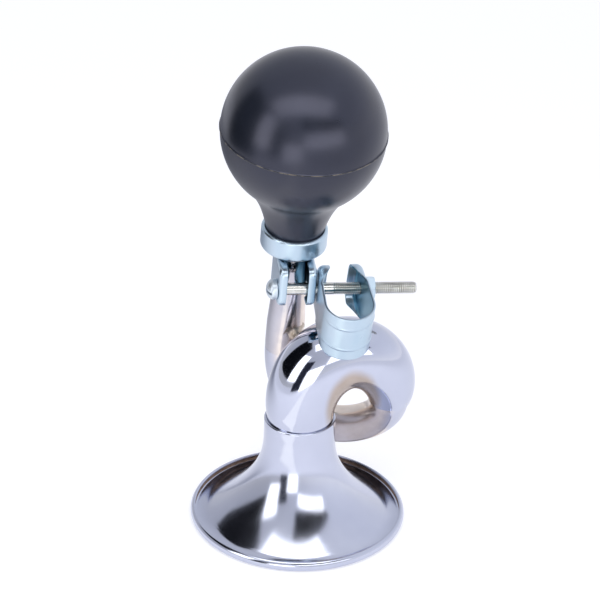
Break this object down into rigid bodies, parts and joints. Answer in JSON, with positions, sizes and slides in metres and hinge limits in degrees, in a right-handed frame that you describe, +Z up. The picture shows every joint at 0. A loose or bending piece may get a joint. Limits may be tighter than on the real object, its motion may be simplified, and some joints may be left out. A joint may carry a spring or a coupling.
{
  "type": "bulb horn",
  "caption": "Coiled plated bulb horn that stands on its bell, with a squeezable rubber bulb, a reed and a screw clamp for a round bar",
  "frame": {"origin": "centre of the bell's mouth, on the plane that its curled rim stands on", "axes": "+Z up along the bell's axis to the bulb, +X to the right along the loop, +Y from the bar clip to the back"},
  "size_m": [0.072, 0.0735, 0.1618],
  "materials": {
    "chrome_plate": "bright chrome plate on formed sheet",
    "nickel_plate": "bright nickel plate, warm tone",
    "zinc_plate": "blue zinc plate on bent sheet",
    "solder": "soft solder, wiped",
    "brass": "rolled brass",
    "bulb_rubber": "moulded black rubber, dull sheen",
    "screw_steel": "zinc plated steel, cut thread"
  },
  "bodies": {
    "horn": {"bell": "chrome_plate", "loop_arch": "chrome_plate", "lower_bend": "nickel_plate", "stem_tube": "chrome_plate", "solder_stay": "solder", "bulb_socket": "zinc_plate", "reed_tube": "brass", "reed_wedge": "brass"},
    "bulb": {"bulb": "bulb_rubber"},
    "tongue": {"reed_tongue": "brass"},
    "stem_clip": {"stem_clip": "zinc_plate"},
    "bar_clip": {"bar_clip": "zinc_plate"},
    "screw": {"clamp_screw": "screw_steel"},
    "nut": {"clamp_nut": "screw_steel"}
  },
  "joints": [
    {"name": "bulb_squeeze", "type": "slide", "parent": "horn", "child": "bulb", "axis": [-0.0548, 0.0774, -0.9955], "range_m": [0, 0.018], "stiffness_N_per_m": 700, "deforming": ["bulb"]},
    {"name": "reed_flutter", "type": "hinge", "parent": "horn", "child": "tongue", "pos_m": [-0.00351, 0.01406, 0.09822], "axis": [0.9985, 0, -0.055], "range_deg": [-2, 3], "stiffness_Nm_per_rad": 0.02},
    {"name": "bracket_swivel", "type": "hinge", "parent": "horn", "child": "stem_clip", "pos_m": [-0.00433, 0.01615, 0.08326], "axis": [0.0548, -0.0774, 0.9955], "range_deg": [-290, 5]},
    {"name": "bar_clip_swing", "type": "hinge", "parent": "stem_clip", "child": "bar_clip", "pos_m": [-0.00259, 0.00482, 0.08229], "axis": [-0.9869, -0.156, 0.0422], "range_deg": [-2, 55]},
    {"name": "screw_turn", "type": "hinge", "parent": "stem_clip", "child": "screw", "pos_m": [-0.00259, 0.00482, 0.08229], "axis": [0.9869, 0.156, -0.0422], "range_deg": [0, 3600]},
    {"name": "nut_travel", "type": "slide", "parent": "stem_clip", "child": "nut", "axis": [0.9869, 0.156, -0.0422], "range_m": [0, 0.007]}
  ],
  "couplings": [
    {"joint": "screw_turn", "follows": "nut_travel", "rad_per_m": 8976}
  ]
}
